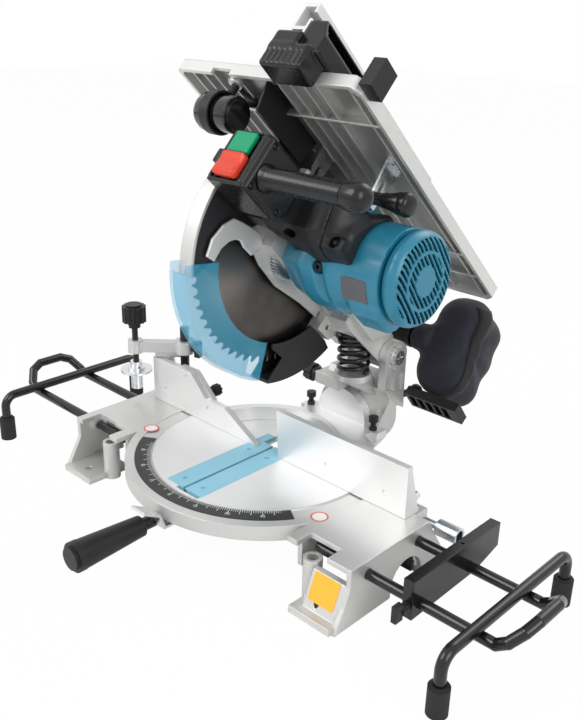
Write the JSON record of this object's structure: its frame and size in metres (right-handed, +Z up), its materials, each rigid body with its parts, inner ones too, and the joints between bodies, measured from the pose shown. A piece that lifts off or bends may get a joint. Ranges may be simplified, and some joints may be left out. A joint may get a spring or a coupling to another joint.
{
  "type": "table-top combination mitre and bench saw",
  "caption": "Table-top mitre saw with a tilting, lowering head that also carries a small bench-saw table, with guide fence, clamp, side holders, blade guard and dust bag.",
  "frame": {"origin": "the turntable's axis on the bench top that the feet stand on", "axes": "+X to the operator's right, +Y away from the operator, +Z up"},
  "size_m": [0.8362, 0.6125, 0.582],
  "materials": {
    "cast": "satin silver casting paint",
    "machined": "machined, satin",
    "skyblue": "satin",
    "teal": "satin gloss",
    "black": "fine grain",
    "gloss_black": "gloss",
    "black_steel": "gloss black paint",
    "rubber": "matt",
    "guard": "clear tinted",
    "blade": "ground",
    "zinc": "bright zinc",
    "steel": "turned",
    "copper": "varnished winding",
    "fabric": "woven",
    "green": "satin",
    "red": "satin",
    "scale": "printed"
  },
  "bodies": {
    "base": {"base_casting": "cast", "mitre_scale": "scale", "guide_fence": "machined", "fence_bolts": "zinc", "socket_wrench": "zinc"},
    "sub_fence": {"sub_fence": "machined"},
    "sub_fence_knob": {"sub_fence_knob": "black"},
    "holder_right": {"holder_right": "black_steel", "holder_right_caps": "rubber"},
    "holder_left": {"holder_left": "black_steel", "holder_left_caps": "rubber"},
    "set_plate": {"set_plate": "black_steel"},
    "set_plate_screw": {"set_plate_screw": "black"},
    "holder_screw_right": {"holder_screw_right": "black"},
    "holder_screw_left": {"holder_screw_left": "black"},
    "vise_rod": {"vise_rod": "black_steel"},
    "vise_arm": {"vise_arm": "cast"},
    "vise_lock": {"vise_lock": "black"},
    "vise_foot": {"vise_foot": "zinc"},
    "vise_screw": {"vise_screw": "black"},
    "turntable": {"turntable": "machined", "kerf_board_left": "skyblue", "kerf_board_right": "skyblue", "stop_bolts": "black_steel"},
    "mitre_grip": {"grip_shaft": "black_steel", "mitre_grip": "black"},
    "index_lever": {"index_lever": "zinc"},
    "arm": {"bevel_arm": "cast", "hinge_pin": "zinc", "return_spring": "black_steel"},
    "bevel_lever": {"bevel_lever": "black"},
    "stopper_pin": {"stopper_pin": "black"},
    "blade": {"saw_blade": "blade", "spindle": "steel", "blade_bolt": "steel"},
    "lower_guard": {"lower_guard": "guard"},
    "head": {"blade_case": "cast", "case_cover": "cast", "dust_chute": "black", "dust_nozzle": "black", "dust_bag": "fabric", "bag_clip": "black", "motor_housing": "teal", "motor_cap": "teal", "stator": "copper", "handle_bracket": "black", "switch_box": "black", "front_grip": "black", "table_bolt": "zinc"},
    "armature": {"armature": "steel"},
    "start_button": {"start_button": "green"},
    "stop_button": {"stop_button": "red"},
    "table_lock": {"table_lock": "black"},
    "upper_table": {"upper_table": "machined", "table_brackets": "zinc", "table_skirt": "black", "lamp_bracket": "black"},
    "rip_fence": {"rip_fence": "machined", "fence_carrier": "black"},
    "lamp": {"lamp": "gloss_black"}
  },
  "joints": [
    {"name": "mitre_turn", "type": "hinge", "parent": "base", "child": "turntable", "pos_m": [0, 0, 0.06], "axis": [0, 0, 1], "range_deg": [-52, 45]},
    {"name": "sub_fence_swing", "type": "hinge", "parent": "base", "child": "sub_fence", "pos_m": [-0.148, 0.004, 0.121], "axis": [0, 1, 0], "range_deg": [-100, 0]},
    {"name": "sub_fence_knob_turn", "type": "hinge", "parent": "sub_fence", "child": "sub_fence_knob", "pos_m": [-0.116, 0.02, 0.104], "axis": [0, 1, 0], "range_deg": [-180, 0]},
    {"name": "holder_right_slide", "type": "slide", "parent": "base", "child": "holder_right", "axis": [1, 0, 0], "range_m": [-0.01, 0.04]},
    {"name": "holder_left_slide", "type": "slide", "parent": "base", "child": "holder_left", "axis": [-1, 0, 0], "range_m": [-0.01, 0.04]},
    {"name": "set_plate_slide", "type": "slide", "parent": "holder_right", "child": "set_plate", "axis": [1, 0, 0], "range_m": [-0.012, 0.055]},
    {"name": "set_plate_screw_turn", "type": "hinge", "parent": "set_plate", "child": "set_plate_screw", "pos_m": [0.2965, -0.11, 0.051], "axis": [0, 1, 0], "range_deg": [-90, 0]},
    {"name": "holder_screw_right_turn", "type": "hinge", "parent": "base", "child": "holder_screw_right", "pos_m": [0.226, -0.0017, 0.03], "axis": [0, 0, 1], "range_deg": [-90, 0]},
    {"name": "holder_screw_left_turn", "type": "hinge", "parent": "base", "child": "holder_screw_left", "pos_m": [-0.226, -0.0017, 0.03], "axis": [0, 0, 1], "range_deg": [-90, 0]},
    {"name": "vise_swing", "type": "hinge", "parent": "base", "child": "vise_rod", "pos_m": [-0.185, 0.029, 0.08], "axis": [0, 0, 1], "range_deg": [-25, 40]},
    {"name": "vise_arm_slide", "type": "slide", "parent": "vise_rod", "child": "vise_arm", "axis": [0, 0, 1], "range_m": [0, 0.012]},
    {"name": "vise_lock_turn", "type": "hinge", "parent": "vise_arm", "child": "vise_lock", "pos_m": [-0.185, 0.029, 0.145], "axis": [0.9659, 0.2588, 0], "range_deg": [-90, 0]},
    {"name": "vise_feed", "type": "slide", "parent": "vise_arm", "child": "vise_foot", "axis": [0, 0, 1], "range_m": [-0.016, 0.01]},
    {"name": "vise_screw_turn", "type": "hinge", "parent": "vise_foot", "child": "vise_screw", "pos_m": [-0.232, -0.018, 0.14], "axis": [0, 0, 1], "range_deg": [-2890, 1810]},
    {"name": "mitre_grip_turn", "type": "hinge", "parent": "turntable", "child": "mitre_grip", "pos_m": [0, -0.2, 0.044], "axis": [0, 1, 0], "range_deg": [-90, 0]},
    {"name": "index_lever_press", "type": "hinge", "parent": "turntable", "child": "index_lever", "pos_m": [0.016, -0.112, 0.044], "axis": [1, 0, 0], "range_deg": [0, 3], "stiffness_Nm_per_rad": 1.5, "springref_deg": -5.73},
    {"name": "bevel_tilt", "type": "hinge", "parent": "turntable", "child": "arm", "pos_m": [0, 0.16, 0.067], "axis": [0, 1, 0], "range_deg": [-45, 0]},
    {"name": "bevel_lever_turn", "type": "hinge", "parent": "arm", "child": "bevel_lever", "pos_m": [0, 0.2, 0.067], "axis": [0, 1, 0], "range_deg": [0, 35]},
    {"name": "stopper_pull", "type": "slide", "parent": "arm", "child": "stopper_pin", "axis": [1, 0, 0], "range_m": [-0.008, 0]},
    {"name": "head_lower", "type": "hinge", "parent": "arm", "child": "head", "pos_m": [0.03, 0.168, 0.166], "axis": [1, 0, 0], "range_deg": [0, 43.3], "stiffness_Nm_per_rad": 14, "springref_deg": -97.4, "deforming": ["return_spring"]},
    {"name": "blade_spin", "type": "hinge", "parent": "head", "child": "blade", "pos_m": [0, 0.01961, 0.31518], "axis": [1, 0, 0], "continuous": true},
    {"name": "armature_spin", "type": "hinge", "parent": "head", "child": "armature", "pos_m": [0.06, 0.05144, 0.31675], "axis": [1, 0, 0], "continuous": true},
    {"name": "guard_swing", "type": "hinge", "parent": "head", "child": "lower_guard", "pos_m": [0, 0.01961, 0.31518], "axis": [1, 0, 0], "range_deg": [-74, 0]},
    {"name": "start_press", "type": "slide", "parent": "head", "child": "start_button", "axis": [0, 0.7278, -0.6858], "range_m": [0, 0.003], "stiffness_N_per_m": 400, "springref_m": -0.002},
    {"name": "stop_press", "type": "slide", "parent": "head", "child": "stop_button", "axis": [0, 0.7278, -0.6858], "range_m": [0, 0.003], "stiffness_N_per_m": 400, "springref_m": -0.002},
    {"name": "table_lock_turn", "type": "hinge", "parent": "head", "child": "table_lock", "pos_m": [0.13, 0.0463, 0.39308], "axis": [1, 0, 0], "range_deg": [-90, 0]},
    {"name": "upper_table_slide", "type": "slide", "parent": "head", "child": "upper_table", "axis": [0, 0.6858, 0.7278], "range_m": [-0.016, 0]},
    {"name": "rip_fence_slide", "type": "slide", "parent": "upper_table", "child": "rip_fence", "axis": [1, 0, 0], "range_m": [-0.036, 0.03]},
    {"name": "lamp_turn", "type": "hinge", "parent": "upper_table", "child": "lamp", "pos_m": [-0.026, -0.04628, 0.47345], "axis": [1, 0, 0], "range_deg": [-30, 30]}
  ],
  "couplings": [
    {"joint": "armature_spin", "follows": "blade_spin", "ratio": -4.6667},
    {"joint": "guard_swing", "follows": "head_lower", "ratio": -1.7},
    {"joint": "vise_screw_turn", "follows": "vise_feed", "rad_per_m": 3141.6}
  ]
}
